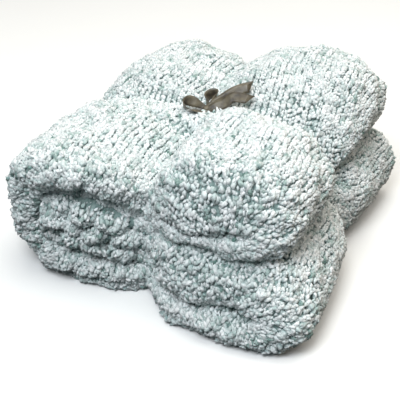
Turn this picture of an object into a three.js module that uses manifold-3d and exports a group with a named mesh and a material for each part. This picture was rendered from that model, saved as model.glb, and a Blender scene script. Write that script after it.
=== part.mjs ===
import * as THREE from "three";
import Module from "manifold-3d";

// Sizes of the folded bundle before the tie draws it in, in millimetres
const WIDTH = 331;
const DEPTH = 333;
const PITCH = 45;
const PASS_GAP = 2;
const LAYER_GAP = 1.2;
const TIP_REACH = 37;
const HEM_IN = [7, 13];
const HEM_ROUND = 4;

// The tie: where its two loops cross and how far it draws the bundle in
const TIE_X = -5;
const TIE_Y = 9;
const TIE_FLAT = 5;
const TIE_SPREAD = 29;
const TIE_EASE = 1.6;
const DIP_LEFT = 0.109;
const DIP_RIGHT = 0.18;
const DIP_ALONG_Y = 0.114;
const DIP_CROSSING = 0.03;
const DRAW_LEFT = 14.5;
const DRAW_RIGHT = 33.5;
const DRAW_FRONT = 32;
const DRAW_BACK = 23.5;
const DRAW_LESS_BELOW = 0.27;
const BASE_GROOVE = 5.5;
const BASE_GROOVE_HALF = 20;

// The shoulders of the upper turned fold, which fall off beside the loop across it
const SHOULDER_FROM = 20;
const SHOULDER_SPREAD = 60;
const SHOULDER_DIP = 0.12;
const SHOULDER_DRAW = 14;

// Rounding of the whole bundle, as shares of its sides
const CROWN_X = 0.003;
const CROWN_Y = 0.081;
const LOBE_BLEND = 173;
const FOOT_TOE = 1.84;

// The four lobes between the loops: reach in x and y, rise of the top, spread of the foot, rounded corner
const LOBES = {
  frontLeft: { reachX: 0.112, reachY: 0.05, rise: -0.119, foot: -4.5, corner: 0.158 },
  frontRight: { reachX: -0.007, reachY: 0.09, rise: 0.062, foot: 19, corner: 0.271 },
  backLeft: { reachX: -0.016, reachY: 0.007, rise: -0.029, foot: -4.8, corner: 0.113 },
  backRight: { reachX: 0.001, reachY: -0.028, rise: 0.098, foot: 8.8, corner: 0.133 },
};

// The front folds: how full their round is and how far the folds of a pair share one round
const FOLD_FULL = 2.5;
const BASE_FULL = 3.2;
const BASE_SHARE = 0.45;
const TUCKED_REACH = 0.74;
const PAIRED_REACH = 0.78;
const SEAM_ROUND = 0.14;
const FOLD_BLEND = 40;
const FOLD_ROOT = 20;

// The seams between the passes sag and rise along the front: by how much at each place across it
const SEAM_SHIFT = [
  { x: -120, low: 0, middle: 0, high: 12 },
  { x: -60, low: 0, middle: 0, high: 9 },
  { x: -25, low: 0, middle: 4, high: 2 },
  { x: 15, low: -11, middle: 14, high: -16 },
  { x: 48, low: -12, middle: 6, high: -26 },
  { x: 84, low: -10, middle: 2, high: -27 },
  { x: 120, low: -10, middle: 0, high: -16 },
  { x: 150, low: -4, middle: 0, high: 0 },
];
const SEAM_FULL = 15;
const SEAM_FADE = 75;

// The ribbon
const RIBBON_WIDTH = 12;
const RIBBON_GATHERED = 6;
const RIBBON_THICK = 1;
const RIBBON_CLEAR = 1.5;
const RIBBON_OVER = 0.4;
const BOW_TURN = 23.1;

// The folded strip: four layers thick, four passes high
const STRIP = PITCH - PASS_GAP;
const HEIGHT = 4 * PITCH - PASS_GAP;
const FOLD_X = WIDTH / 2 - PITCH;
const WRAP_X = -WIDTH / 2 + 2 * PITCH;
const MID_Z = STRIP / 2 + 1.5 * PITCH;
const LAYER = (STRIP - 3 * LAYER_GAP) / 4;
const LAYER_STEP = LAYER + LAYER_GAP;
const FRONT_Y = -DEPTH / 2 + STRIP / 2;
const BACK_Y = DEPTH / 2 - LAYER_STEP / 2 - LAYER / 2;

// Stations shared by all passes and all layers, so that neighbours bend at the same places
const AROUND_TIE = [-BASE_GROOVE_HALF, -TIE_FLAT, TIE_FLAT, BASE_GROOVE_HALF];
const PASS_X = [WRAP_X, ...AROUND_TIE.map((d) => TIE_X + d), 48, 84, FOLD_X];
const TIP_X = [TIP_REACH, 0.68 * TIP_REACH, 0.34 * TIP_REACH].map((d) => WRAP_X - d);
const LAYER_Y = [FRONT_Y, -96, -52, ...AROUND_TIE.map((d) => TIE_Y + d), 72, 116];
const TURN_STEPS = 6;
const WRAP_STEPS = 10;
const FOLD_STEPS = 5;
const BACK_STEPS = 4;

const radians = THREE.MathUtils.degToRad;

// One row of the strip's path: centre, outward direction, thickness and which pass it is in
function row(x, z, nx, nz, thick, isInner) {
  return { x, z, nx, nz, thick, isInner, isLower: z < MID_Z };
}

function turn(cx, cz, radius, from, to, steps) {
  const rows = [];
  for (let i = 1; i < steps; i += 1) {
    const angle = radians(from + ((to - from) * i) / steps);
    const c = Math.cos(angle);
    const s = Math.sin(angle);
    rows.push(row(cx + radius * c, cz + radius * s, c, s, STRIP, false));
  }
  return rows;
}

// The passes that hold the free ends grow thinner inside the round of the wrap
function innerPass(up) {
  return [...TIP_X, ...PASS_X].map((x) => {
    const inside = Math.max(WRAP_X - x, 0);
    const thick = Math.sqrt(PITCH * PITCH - inside * inside) - PASS_GAP;
    return row(x, MID_Z + up * (PASS_GAP / 2 + thick / 2), 0, -up, thick, true);
  });
}

function outerPass(z, nz) {
  return PASS_X.map((x) => row(x, z, 0, nz, STRIP, false));
}

// From one free end through upper fold, top, wrap, base and lower fold to the other free end
function stripPath() {
  const top = outerPass(MID_Z + 1.5 * PITCH, 1).reverse();
  const base = outerPass(MID_Z - 1.5 * PITCH, -1);
  return [
    ...innerPass(1),
    ...turn(FOLD_X, MID_Z + PITCH, PITCH / 2, -90, 90, TURN_STEPS),
    ...top,
    ...turn(WRAP_X, MID_Z, 1.5 * PITCH, 90, 270, WRAP_STEPS),
    ...base,
    ...turn(FOLD_X, MID_Z - PITCH, PITCH / 2, -90, 90, TURN_STEPS),
    ...innerPass(-1).reverse(),
  ];
}

// Outline of the quartered throw: four layers, two front folds, one back fold, two hems at the back
function quarterFold() {
  const outer = 1.5 * LAYER_STEP;
  const inner = 0.5 * LAYER_STEP;
  const line = [];
  const layer = (stations, q, nq) => stations.forEach((y) => line.push([y, q, 0, nq]));
  const bend = (cy, cq, radius, from, to, steps, side) => {
    for (let i = 1; i < steps; i += 1) {
      const angle = radians(from + ((to - from) * i) / steps);
      const c = Math.cos(angle);
      const s = Math.sin(angle);
      line.push([cy + radius * c, cq + radius * s, side * c, side * s]);
    }
  };
  const toBack = (end) => [...LAYER_Y, end];
  const toFront = (end) => [...LAYER_Y, end].reverse();
  layer(toFront(DEPTH / 2 - HEM_IN[0]), outer, 1);
  bend(FRONT_Y, 0, outer, 90, 270, FOLD_STEPS, 1);
  layer(toBack(BACK_Y), -outer, -1);
  bend(BACK_Y, -LAYER_STEP, LAYER_STEP / 2, -90, 90, BACK_STEPS, 1);
  layer(toFront(BACK_Y), -inner, 1);
  bend(FRONT_Y, 0, inner, 270, 90, FOLD_STEPS, -1);
  layer(toBack(DEPTH / 2 - HEM_IN[1]), inner, -1);
  const side = (p, s) => [p[0] + (s * p[2] * LAYER) / 2, p[1] + (s * p[3] * LAYER) / 2];
  const first = line[0];
  const last = line[line.length - 1];
  return [
    [first[0] + HEM_ROUND, first[1]],
    ...line.map((p) => side(p, 1)),
    [last[0] + HEM_ROUND, last[1]],
    ...line.map((p) => side(p, -1)).reverse(),
  ];
}

// The front folds lean on each other: to the right of the tie the two folds of a pair make one round,
// to the left the two tucked passes do, and the wrap keeps a round of its own
function frontFold(x, y, q, { isInner, isLower }) {
  const t = THREE.MathUtils.clamp(q / (STRIP / 2), -1, 1);
  const round = (v, full) => Math.max(1 - Math.abs(v) ** full, 0) ** (1 / full);
  const seam = (v) => SEAM_ROUND * Math.max((v - 0.7) / 0.3, 0) ** 2;
  const paired = round((t + 1) / 2, FOLD_FULL) - seam(-t);
  const tucked = round((1 - t) / 2, FOLD_FULL) - seam(t);
  const base = BASE_SHARE * paired + (1 - BASE_SHARE) * round(t, t > 0 ? BASE_FULL : FOLD_FULL);
  const tuck = isInner ? (1 - PAIRED_REACH) * THREE.MathUtils.smoothstep(FOLD_X - x, 0, FOLD_BLEND) : 0;
  const onRight = isLower ? base : paired * (1 - tuck);
  const onLeft = isInner ? TUCKED_REACH * tucked : round(t, FOLD_FULL);
  const right = THREE.MathUtils.smoothstep(x - TIE_X, -FOLD_BLEND / 2, FOLD_BLEND / 2);
  const further = right * onRight + (1 - right) * onLeft - Math.sqrt(1 - t * t);
  return y - (STRIP / 2) * further * THREE.MathUtils.smoothstep(FRONT_Y + FOLD_ROOT - y, 0, FOLD_ROOT);
}

// Linear reading of a table: rows of [at, value]
function between(rows, at) {
  const next = rows.findIndex(([end]) => end > at);
  if (next <= 0) {
    return next === 0 ? rows[0][1] : rows[rows.length - 1][1];
  }
  const [from, a] = rows[next - 1];
  const [to, b] = rows[next];
  return a + ((b - a) * (at - from)) / (to - from);
}

// Height of a point of the straight bundle once the seams of the front have shifted
function settled(x, y, z) {
  const shift = (seam) => between(SEAM_SHIFT.map((r) => [r.x, r[seam]]), x);
  const seams = [
    [0, 0],
    [MID_Z - PITCH, shift("low")],
    [MID_Z, shift("middle")],
    [MID_Z + PITCH, shift("high")],
    [HEIGHT, 0],
  ];
  const near = THREE.MathUtils.smoothstep(FRONT_Y + SEAM_FADE - y, 0, SEAM_FADE - SEAM_FULL);
  return z + near * between(seams, z);
}

// The tie's pinch and the swell of the four lobes, applied to a point of the straight bundle
function tied(p) {
  const X = p.x / (WIDTH / 2);
  const Y = p.y / (DEPTH / 2);
  const Z = p.z / HEIGHT;
  const dx = Math.abs(p.x - TIE_X);
  const dy = Math.abs(p.y - TIE_Y);
  const pinch = (d) => 1 / (1 + (Math.max(d - TIE_FLAT, 0) / TIE_SPREAD) ** TIE_EASE);
  const groove = (d) => THREE.MathUtils.clamp((BASE_GROOVE_HALF - d) / (BASE_GROOVE_HALF - TIE_FLAT), 0, 1);
  const alongX = pinch(dy);
  const alongY = pinch(dx);
  const right = THREE.MathUtils.smoothstep(p.x - TIE_X, -LOBE_BLEND / 2, LOBE_BLEND / 2);
  const back = THREE.MathUtils.smoothstep(p.y - TIE_Y, -LOBE_BLEND / 2, LOBE_BLEND / 2);
  const lobe = (column) => {
    const front = (1 - right) * LOBES.frontLeft[column] + right * LOBES.frontRight[column];
    const rear = (1 - right) * LOBES.backLeft[column] + right * LOBES.backRight[column];
    return (1 - back) * front + back * rear;
  };
  const dipAlongX = (1 - right) * DIP_LEFT + right * DIP_RIGHT;
  const beside = 1 / (1 + (Math.max(dy - TIE_FLAT, 0) / SHOULDER_SPREAD) ** 2);
  const upper = THREE.MathUtils.smoothstep(Z, 0.45, 0.95);
  const shoulder = beside * upper * THREE.MathUtils.smoothstep(p.x, SHOULDER_FROM, WIDTH / 2);
  const pulled = Math.hypot(dipAlongX * alongX, DIP_ALONG_Y * alongY) + DIP_CROSSING * alongX * alongY;
  const dip = pulled + SHOULDER_DIP * shoulder;
  const crown = (1 - CROWN_X * X ** 4) * (1 - CROWN_Y * Math.abs(Y) ** 3);
  const lift = BASE_GROOVE * (groove(dx) + groove(dy)) * (1 - Z);
  const drawX = (p.x > 0 ? DRAW_RIGHT : DRAW_LEFT) * alongX * (1 - DRAW_LESS_BELOW * (1 - Z));
  const drawY = (p.y > 0 ? DRAW_BACK : DRAW_FRONT) * alongY;
  const foot = lobe("foot") * (1 - Z) * (1 + FOOT_TOE * (X * Y) ** 2);
  const out = (side, power) => Math.sign(side) * Math.abs(side) ** power;
  const roundX = Math.sqrt(1 - lobe("corner") * Y * Y);
  const roundY = Math.sqrt(1 - lobe("corner") * X * X);
  const pulledX = out(X, 3) * drawX + SHOULDER_DRAW * shoulder;
  return new THREE.Vector3(
    p.x * roundX * (1 + lobe("reachX")) + out(X, 1.5) * foot - pulledX,
    p.y * roundY * (1 + lobe("reachY")) + out(Y, 1.5) * foot - out(Y, 3) * drawY,
    p.z * (1 - dip) * crown * (1 + lobe("rise")) + lift,
  );
}

// Rings of points joined one to the next, as a closed loop or with two flat ends.
// Each four-sided facet is split from its corner with the smallest rank, so that stacked layers match.
function loft(rings, isLoop, cap, ranks) {
  const n = rings[0].length;
  const positions = rings.flat().flatMap((p) => [p.x, p.y, p.z]);
  const rank = (i) => (ranks ? ranks[i] : 0);
  const index = [];
  const last = isLoop ? rings.length : rings.length - 1;
  for (let i = 0; i < last; i += 1) {
    const a = i * n;
    const b = ((i + 1) % rings.length) * n;
    for (let j = 0; j < n; j += 1) {
      const k = (j + 1) % n;
      const across = Math.min(rank(a + j), rank(b + k));
      const other = Math.min(rank(a + k), rank(b + j));
      if (across <= other) {
        index.push(a + j, a + k, b + k, a + j, b + k, b + j);
      } else {
        index.push(a + j, a + k, b + j, a + k, b + k, b + j);
      }
    }
  }
  if (!isLoop) {
    const end = (rings.length - 1) * n;
    cap.forEach(([a, b, c]) => index.push(a, c, b, end + a, end + b, end + c));
  }
  return { positions, index };
}

// A free end of the strip: quads from one side of the cloth to the other, with a point at each hem
function clothEnd(count) {
  const stations = count / 2 - 1;
  const cap = [[0, 1, count - 1], [stations, stations + 1, stations + 2]];
  for (let i = 1; i < stations; i += 1) {
    const a = i;
    const b = count - i;
    cap.push([a, a + 1, b - 1], [a, b - 1, b]);
  }
  return cap;
}

function throwShell() {
  const outline = quarterFold();
  const straight = stripPath().map((r) => outline.map(([y, q]) => {
    const out = (q / STRIP) * r.thick;
    const x = r.x + r.nx * out;
    return new THREE.Vector3(x, frontFold(x, y, q, r), settled(x, y, r.z + r.nz * out));
  }));
  const ranks = straight.flat().map((p) => Math.abs(p.x - TIE_X) + Math.abs(p.y - TIE_Y));
  return loft(straight.map((ring) => ring.map(tied)), false, clothEnd(outline.length), ranks);
}

const QUAD = [[0, 1, 2], [0, 2, 3]];

// A corner of a loop: rows of place and outward direction round a centre
function corner(ca, cz, radius, from, to, steps) {
  const rows = [];
  for (let i = 0; i <= steps; i += 1) {
    const angle = radians(from + ((to - from) * i) / steps);
    const c = Math.cos(angle);
    const s = Math.sin(angle);
    rows.push([ca + radius * c, cz + radius * s, c, s]);
  }
  return rows;
}

// The loop that runs across the bundle, over both folds and round the wrap
function loopAlongX() {
  const inside = PASS_X.slice(1, -1);
  const reach = PITCH - PASS_GAP / 2;
  const into = 180 / TURN_STEPS;
  const steps = TURN_STEPS / 2 + 1;
  return [
    ...corner(FOLD_X, MID_Z - PITCH, reach, -90, into, steps),
    ...corner(FOLD_X, MID_Z + PITCH, reach, -into, 90, steps),
    ...inside.map((x) => [x, HEIGHT, 0, 1]).reverse(),
    ...corner(WRAP_X, MID_Z, HEIGHT / 2, 90, 270, WRAP_STEPS),
    ...inside.map((x) => [x, 0, 0, -1]),
  ];
}

// The loop that runs from front to back, over the front folds and the hems
function loopAlongY() {
  const inside = LAYER_Y.slice(1);
  const hem = DEPTH / 2 - HEM_IN[0];
  const half = Math.SQRT1_2;
  const onFold = (middle, side, isLower) => ([y, z, ny, nz]) => {
    const q = side * (z - middle);
    return [frontFold(TIE_X, y, q, { isInner: false, isLower }), settled(TIE_X, y, z), ny, nz];
  };
  return [
    [hem, 0, half, -half],
    [DEPTH / 2, LAYER / 2, 1, 0],
    [DEPTH / 2, HEIGHT - LAYER / 2, 1, 0],
    [hem, HEIGHT, half, half],
    ...inside.map((y) => [y, HEIGHT, 0, 1]).reverse(),
    ...corner(FRONT_Y, HEIGHT - STRIP / 2, STRIP / 2, 90, 180, 3).map(onFold(HEIGHT - STRIP / 2, 1, false)),
    ...corner(FRONT_Y, STRIP / 2, STRIP / 2, 180, 270, 3).map(onFold(STRIP / 2, -1, true)),
    ...inside.map((y) => [y, 0, 0, -1]),
  ];
}

function band(rows, place) {
  const half = RIBBON_GATHERED / 2;
  const rings = rows.map((r) => [
    tied(place(r, half, 0)),
    tied(place(r, -half, 0)),
    tied(place(r, -half, RIBBON_THICK)),
    tied(place(r, half, RIBBON_THICK)),
  ]);
  return loft(rings, true, []);
}

function acrossX([a, z, na, nz], side, out) {
  const d = RIBBON_CLEAR + out;
  return new THREE.Vector3(a + na * d, TIE_Y + side, z + nz * d);
}

function acrossY([a, z, na, nz], side, out) {
  const d = RIBBON_CLEAR + RIBBON_OVER + out;
  return new THREE.Vector3(TIE_X - side, a + na * d, z + nz * d);
}

// The bow, seen from the front: rows of right, toward, up and the same for the ribbon's width,
// which is shorter where the knot draws the ribbon together
const BOW = {
  leftLoop: [
    { at: [0, 0, 4.5], width: [0, -0.15, 0.35] },
    { at: [-7, -1, 8], width: [0, -0.25, 0.55] },
    { at: [-13, -1.2, 11.3], width: [0, -0.35, 0.85] },
    { at: [-20, -0.3, 13.4], width: [0, -0.15, 0.95] },
    { at: [-25, 3.5, 11], width: [0, 0.5, 0.82] },
    { at: [-20.5, 7.5, 7.5], width: [0.08, 0.85, 0.48] },
    { at: [-11, 7.5, 5], width: [0.05, 0.9, 0.15] },
    { at: [0, 5, 3.6], width: [0, 0.45, 0.1] },
  ],
  uprightLoop: [
    { at: [2, -1, 10], width: [-0.1, -0.1, 0.5] },
    { at: [-1, -6, 12], width: [-0.15, -0.1, 0.85] },
    { at: [1, -10.5, 14.5], width: [-0.1, -0.1, 1] },
    { at: [6, -13, 16], width: [0, -0.1, 1] },
    { at: [11, -11, 16], width: [0.1, -0.1, 1] },
    { at: [11, -6, 14], width: [0.1, -0.1, 0.9] },
    { at: [5, -1, 10], width: [0.1, -0.1, 0.5] },
  ],
  upperTail: [
    { at: [0, 0, 5], width: [-0.15, -0.2, 0.45] },
    { at: [9, 0, 9.5], width: [-0.4, -0.35, 0.75] },
    { at: [18, -1, 15], width: [-0.4, -0.4, 0.85] },
    { at: [28.5, -3, 21.5], width: [-0.2, -0.5, 0.85] },
    { at: [37, -4.5, 24.5], width: [0, -0.6, 0.8] },
    { at: [43.5, -5, 26], width: [0, -0.6, 0.8] },
  ],
  lowerTail: [
    { at: [0, 2, 4], width: [-0.1, -0.25, 0.4] },
    { at: [10, 4, 9], width: [-0.1, -0.6, 0.7] },
    { at: [20, 6, 14], width: [-0.1, -0.6, 0.8] },
    { at: [27.5, 6, 20], width: [0, -0.7, 0.7] },
    { at: [35, 8, 20.5], width: [0.2, -0.75, 0.6] },
    { at: [42, 9.5, 19.5], width: [0.3, -0.8, 0.5] },
  ],
};
const BOW_STEPS = 3;
const TAIL_CUT = 8;

function bowFrame() {
  const angle = radians(BOW_TURN);
  const frame = new THREE.Matrix4().makeBasis(
    new THREE.Vector3(Math.cos(angle), Math.sin(angle), 0),
    new THREE.Vector3(Math.sin(angle), -Math.cos(angle), 0),
    new THREE.Vector3(0, 0, 1),
  );
  frame.setPosition(tied(new THREE.Vector3(TIE_X, TIE_Y, HEIGHT)));
  return frame;
}

// A length of ribbon through the rows of a table, its free end cut on the slant
function bowStrip(table, isTail) {
  const line = new THREE.CatmullRomCurve3(table.map((r) => new THREE.Vector3(...r.at)));
  const wide = new THREE.CatmullRomCurve3(table.map((r) => new THREE.Vector3(...r.width)));
  const steps = (table.length - 1) * BOW_STEPS;
  const frame = bowFrame();
  const rings = [];
  for (let i = 0; i <= steps; i += 1) {
    const along = line.getTangent(i / steps);
    const width = wide.getPoint(i / steps);
    const half = (RIBBON_WIDTH / 2) * Math.min(width.length(), 1);
    width.addScaledVector(along, -width.dot(along)).setLength(half);
    const thick = width.clone().cross(along).setLength(RIBBON_THICK / 2);
    const cut = isTail && i === steps ? along.clone().multiplyScalar(TAIL_CUT) : new THREE.Vector3();
    const edge = (w, t) => line.getPoint(i / steps)
      .addScaledVector(width, w)
      .addScaledVector(thick, t)
      .addScaledVector(cut, (1 + w) / 2)
      .applyMatrix4(frame);
    rings.push([edge(1, -1), edge(-1, -1), edge(-1, 1), edge(1, 1)]);
  }
  const ranks = rings.flatMap((ring, i) => (i % 2 === 0 ? [0, 1, 1, 0] : [1, 0, 0, 1]));
  return loft(rings, false, QUAD, ranks);
}

// The knot: a small bulged barrel over the crossing
function knot() {
  const table = [
    { right: -4, radius: 2.2 },
    { right: -2, radius: 3.6 },
    { right: 0, radius: 4 },
    { right: 2, radius: 3.6 },
    { right: 4, radius: 2.2 },
  ];
  const sides = 10;
  const frame = bowFrame();
  const rings = table.map((r) => Array.from({ length: sides }, (unused, i) => {
    const angle = (2 * Math.PI * i) / sides;
    const toward = r.radius * Math.cos(angle);
    const up = 4.4 + 0.85 * r.radius * Math.sin(angle);
    return new THREE.Vector3(r.right, toward, up).applyMatrix4(frame);
  }));
  const cap = Array.from({ length: sides - 2 }, (unused, i) => [0, i + 1, i + 2]);
  return loft(rings, false, cap);
}

const wasm = await Module();
wasm.setup();

function solid({ positions, index }) {
  const flip = signedVolume(positions, index) < 0;
  const triVerts = flip ? reversed(index) : index;
  return new wasm.Manifold(new wasm.Mesh({
    numProp: 3,
    vertProperties: Float32Array.from(positions),
    triVerts: Uint32Array.from(triVerts),
  }));
}

function signedVolume(positions, index) {
  const at = (i) => new THREE.Vector3(positions[3 * i], positions[3 * i + 1], positions[3 * i + 2]);
  let sum = 0;
  for (let i = 0; i < index.length; i += 3) {
    sum += at(index[i]).dot(at(index[i + 1]).cross(at(index[i + 2]))) / 6;
  }
  return sum;
}

function reversed(index) {
  return index.map((value, i) => (i % 3 === 1 ? index[i + 1] : i % 3 === 2 ? index[i - 1] : value));
}

function geometryOf(positions, index) {
  const geometry = new THREE.BufferGeometry();
  geometry.setAttribute("position", new THREE.Float32BufferAttribute(positions, 3));
  geometry.setIndex(signedVolume(positions, index) < 0 ? reversed(index) : index);
  geometry.computeVertexNormals();
  return geometry;
}

const cloth = throwShell();
const tie = [
  band(loopAlongX(), acrossX),
  band(loopAlongY(), acrossY),
  knot(),
  bowStrip(BOW.leftLoop, false),
  bowStrip(BOW.uprightLoop, false),
  bowStrip(BOW.upperTail, true),
  bowStrip(BOW.lowerTail, true),
].map(solid).reduce((sum, next) => sum.add(next)).getMesh();

const throwGeometry = geometryOf(cloth.positions, cloth.index);
const ribbonGeometry = geometryOf(Array.from(tie.vertProperties), Array.from(tie.triVerts));

// The bundle stands with the middle of its box on the origin
throwGeometry.computeBoundingBox();
const middle = throwGeometry.boundingBox.getCenter(new THREE.Vector3());
throwGeometry.translate(-middle.x, -middle.y, 0);
ribbonGeometry.translate(-middle.x, -middle.y, 0);

const fleece = new THREE.MeshStandardMaterial({ color: "#c3cfcd", roughness: 0.95, metalness: 0 });
fleece.name = "heathered mint fleece";
const satin = new THREE.MeshStandardMaterial({ color: "#6a665e", roughness: 0.4, metalness: 0 });
satin.name = "taupe satin ribbon";

const throwMesh = new THREE.Mesh(throwGeometry, fleece);
throwMesh.name = "throw";
const ribbonMesh = new THREE.Mesh(ribbonGeometry, satin);
ribbonMesh.name = "ribbon";

const group = new THREE.Group();
group.name = "folded_throw";
group.add(throwMesh, ribbonMesh);

export default group;
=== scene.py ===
import math
import bpy
import numpy as np
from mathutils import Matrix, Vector
from mathutils.bvhtree import BVHTree


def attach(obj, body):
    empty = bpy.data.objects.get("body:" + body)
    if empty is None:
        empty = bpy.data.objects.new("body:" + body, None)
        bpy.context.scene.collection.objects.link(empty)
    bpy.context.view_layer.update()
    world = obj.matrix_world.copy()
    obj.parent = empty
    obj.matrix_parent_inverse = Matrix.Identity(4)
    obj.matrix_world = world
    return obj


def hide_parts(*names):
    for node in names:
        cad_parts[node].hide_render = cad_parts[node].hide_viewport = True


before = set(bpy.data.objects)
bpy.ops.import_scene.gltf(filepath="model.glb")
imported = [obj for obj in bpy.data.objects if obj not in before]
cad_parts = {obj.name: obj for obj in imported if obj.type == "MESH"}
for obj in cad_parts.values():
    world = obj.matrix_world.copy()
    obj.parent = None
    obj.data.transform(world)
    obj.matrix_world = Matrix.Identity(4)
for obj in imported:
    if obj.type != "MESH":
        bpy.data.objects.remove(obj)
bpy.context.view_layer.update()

# The throw's cloth: one rectangle of chunky fleece, quartered across its width, its ends turned in to the
# middle and the strip doubled, so that four layers lie in each of four passes. Sizes are in millimetres.
# This is the knitted ground that the pile stands on, so it lies a little inside the folded throw.
BUNDLE_WIDTH = 331.0
BUNDLE_DEPTH = 333.0
PASS_PITCH = 45.0
PASS_GAP = 2.0
LAYER_GAP = 1.2
TIP_REACH = 37.0
HEM_IN = (7.0, 13.0)
HEM_ROUND = 4.0
PILE = 2.2
BOX_MIDDLE = (2.034, -14.854)

STRIP = PASS_PITCH - PASS_GAP
HEIGHT = 4*PASS_PITCH - PASS_GAP
FOLD_X = BUNDLE_WIDTH/2 - PASS_PITCH
WRAP_X = -BUNDLE_WIDTH/2 + 2*PASS_PITCH
MID_Z = STRIP/2 + 1.5*PASS_PITCH
LAYER = (STRIP - 3*LAYER_GAP)/4
LAYER_STEP = LAYER + LAYER_GAP
FRONT_Y = -BUNDLE_DEPTH/2 + STRIP/2
BACK_Y = BUNDLE_DEPTH/2 - LAYER_STEP/2 - LAYER/2
RUN = FOLD_X - WRAP_X
TURN = math.pi*PASS_PITCH/2
WRAP = math.pi*1.5*PASS_PITCH
LENGTHS = (TIP_REACH + RUN, TURN, RUN, WRAP, RUN, TURN, RUN + TIP_REACH)
STRIP_LENGTH = sum(LENGTHS)


def strip_path(s):
    """Middle line of the folded strip at length s: place, outward direction, thickness, tucked in, low."""
    ends = np.cumsum(LENGTHS)
    part = np.searchsorted(ends, s, side="right").clip(0, 6)
    t = s - (ends - LENGTHS)[part]
    tucked = (part == 0) | (part == 6)
    x = np.select([part == 0, part == 4], [WRAP_X - TIP_REACH + t, WRAP_X + t], FOLD_X - t)
    inside = np.where(tucked, np.clip(WRAP_X - x, 0.0, PASS_PITCH), 0.0)
    thick = np.where(tucked, np.sqrt(PASS_PITCH**2 - inside**2) - PASS_GAP, STRIP)
    level = PASS_GAP/2 + thick/2
    z = np.select([part == 0, part == 2, part == 4],
                  [MID_Z + level, MID_Z + 1.5*PASS_PITCH, MID_Z - 1.5*PASS_PITCH], MID_Z - level)
    nz = np.where((part == 2) | (part == 6), 1.0, -1.0)
    wrap = part == 3
    angle = np.where(wrap, math.pi/2 + math.pi*t/WRAP, -math.pi/2 + math.pi*t/TURN)
    radius = np.where(wrap, 1.5*PASS_PITCH, PASS_PITCH/2)
    centre_x = np.where(wrap, WRAP_X, FOLD_X)
    centre_z = np.select([wrap, part == 1], [MID_Z, MID_Z + PASS_PITCH], MID_Z - PASS_PITCH)
    bent = part % 2 == 1
    z = np.where(bent, centre_z + radius*np.sin(angle), z)
    return (np.where(bent, centre_x + radius*np.cos(angle), x), z,
            np.where(bent, np.cos(angle), 0.0), np.where(bent, np.sin(angle), nz), thick, tucked, z < MID_Z)


TIE_X, TIE_Y = -5.0, 9.0
BESIDE_TIE = np.array((-15, -10, -6.5, -3.5, 0, 3.5, 6.5, 10, 15))


def quarter_fold(inset, per_layer=22):
    """Outline (y, q) of the quartered throw's section, drawn in by inset from the outside of its pile."""
    outer, inner = 1.5*LAYER_STEP, 0.5*LAYER_STEP
    line = []

    def layer(first, last, q, nq):
        places = np.sort(np.concatenate([np.linspace(first, last, per_layer), TIE_Y + BESIDE_TIE]))
        line.extend((y, q, 0.0, nq) for y in (places if last > first else places[::-1]))

    def bend(cy, cq, radius, first, last, steps, side):
        for angle in np.radians(np.linspace(first, last, steps + 1)[1:-1]):
            c, s = math.cos(angle), math.sin(angle)
            line.append((cy + radius*c, cq + radius*s, side*c, side*s))

    layer(BUNDLE_DEPTH/2 - HEM_IN[0], FRONT_Y, outer, 1.0)
    bend(FRONT_Y, 0.0, outer, 90, 270, 12, 1.0)
    layer(FRONT_Y, BACK_Y, -outer, -1.0)
    bend(BACK_Y, -LAYER_STEP, LAYER_STEP/2, -90, 90, 6, 1.0)
    layer(BACK_Y, FRONT_Y, -inner, 1.0)
    bend(FRONT_Y, 0.0, inner, 270, 90, 6, -1.0)
    layer(FRONT_Y, BUNDLE_DEPTH/2 - HEM_IN[1], inner, -1.0)
    rows = np.array(line)
    half = LAYER/2 - inset
    hems = rows[[0, -1], :2] + [HEM_ROUND - inset, 0.0]
    side_a = rows[:, :2] + half*rows[:, 2:]
    side_b = rows[:, :2] - half*rows[:, 2:]
    return np.concatenate([hems[:1], side_a, hems[1:], side_b[::-1]])


def smooth(t):
    t = np.clip(t, 0.0, 1.0)
    return t*t*(3.0 - 2.0*t)


# The front folds lean on each other: to the right of the tie the two folds of a pair make one round,
# to the left the two tucked passes do, and the wrap keeps a round of its own
FOLD_FULL, BASE_FULL, BASE_SHARE = 2.15, 3.0, 0.45
TUCKED_REACH, PAIRED_REACH = 0.74, 0.78
SEAM_ROUND, SEAM_FROM, SEAM_WIDE = 0.55, 0.7, 0.3
FOLD_BLEND, FOLD_ROOT = 40.0, 20.0


def front_fold(x, y, q, tucked_in, low):
    """Place of a point of the section from front to back, once the front folds lean on each other."""
    t = np.clip(q/(STRIP/2), -1.0, 1.0)

    def roundel(v, full):
        return np.maximum(1.0 - np.abs(v)**full, 0.0)**(1.0/full)

    def seam(v):
        return SEAM_ROUND*np.maximum((v - SEAM_FROM)/SEAM_WIDE, 0.0)**2

    paired = roundel((t + 1)/2, FOLD_FULL) - seam(-t)
    tucked = roundel((1 - t)/2, FOLD_FULL) - seam(t)
    own = roundel(t, FOLD_FULL)
    base = BASE_SHARE*paired + (1 - BASE_SHARE)*np.where(t > 0, roundel(t, BASE_FULL), own)
    tuck = np.where(tucked_in, (1 - PAIRED_REACH)*smooth((FOLD_X - x)/FOLD_BLEND), 0.0)
    on_right = np.where(low, base, paired*(1 - tuck))
    on_left = np.where(tucked_in, TUCKED_REACH*tucked, own)
    right = smooth(0.5 + (x - TIE_X)/FOLD_BLEND)
    further = right*on_right + (1 - right)*on_left - np.sqrt(np.maximum(1 - t*t, 0.0))
    return y - STRIP/2*further*smooth((FRONT_Y + FOLD_ROOT - y)/FOLD_ROOT)


# The seams between the passes sag and rise along the front: place across it, and shift of each seam there
SEAM_SHIFT = dict(x=(-120, -60, -25, 15, 48, 84, 120, 150), low=(0, 0, 0, -11, -12, -10, -10, -4),
                  middle=(0, 0, 4, 14, 6, 2, 0, 0), high=(12, 9, 2, -16, -26, -27, -16, 0))
SEAM_FULL, SEAM_FADE = 15.0, 75.0


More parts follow.
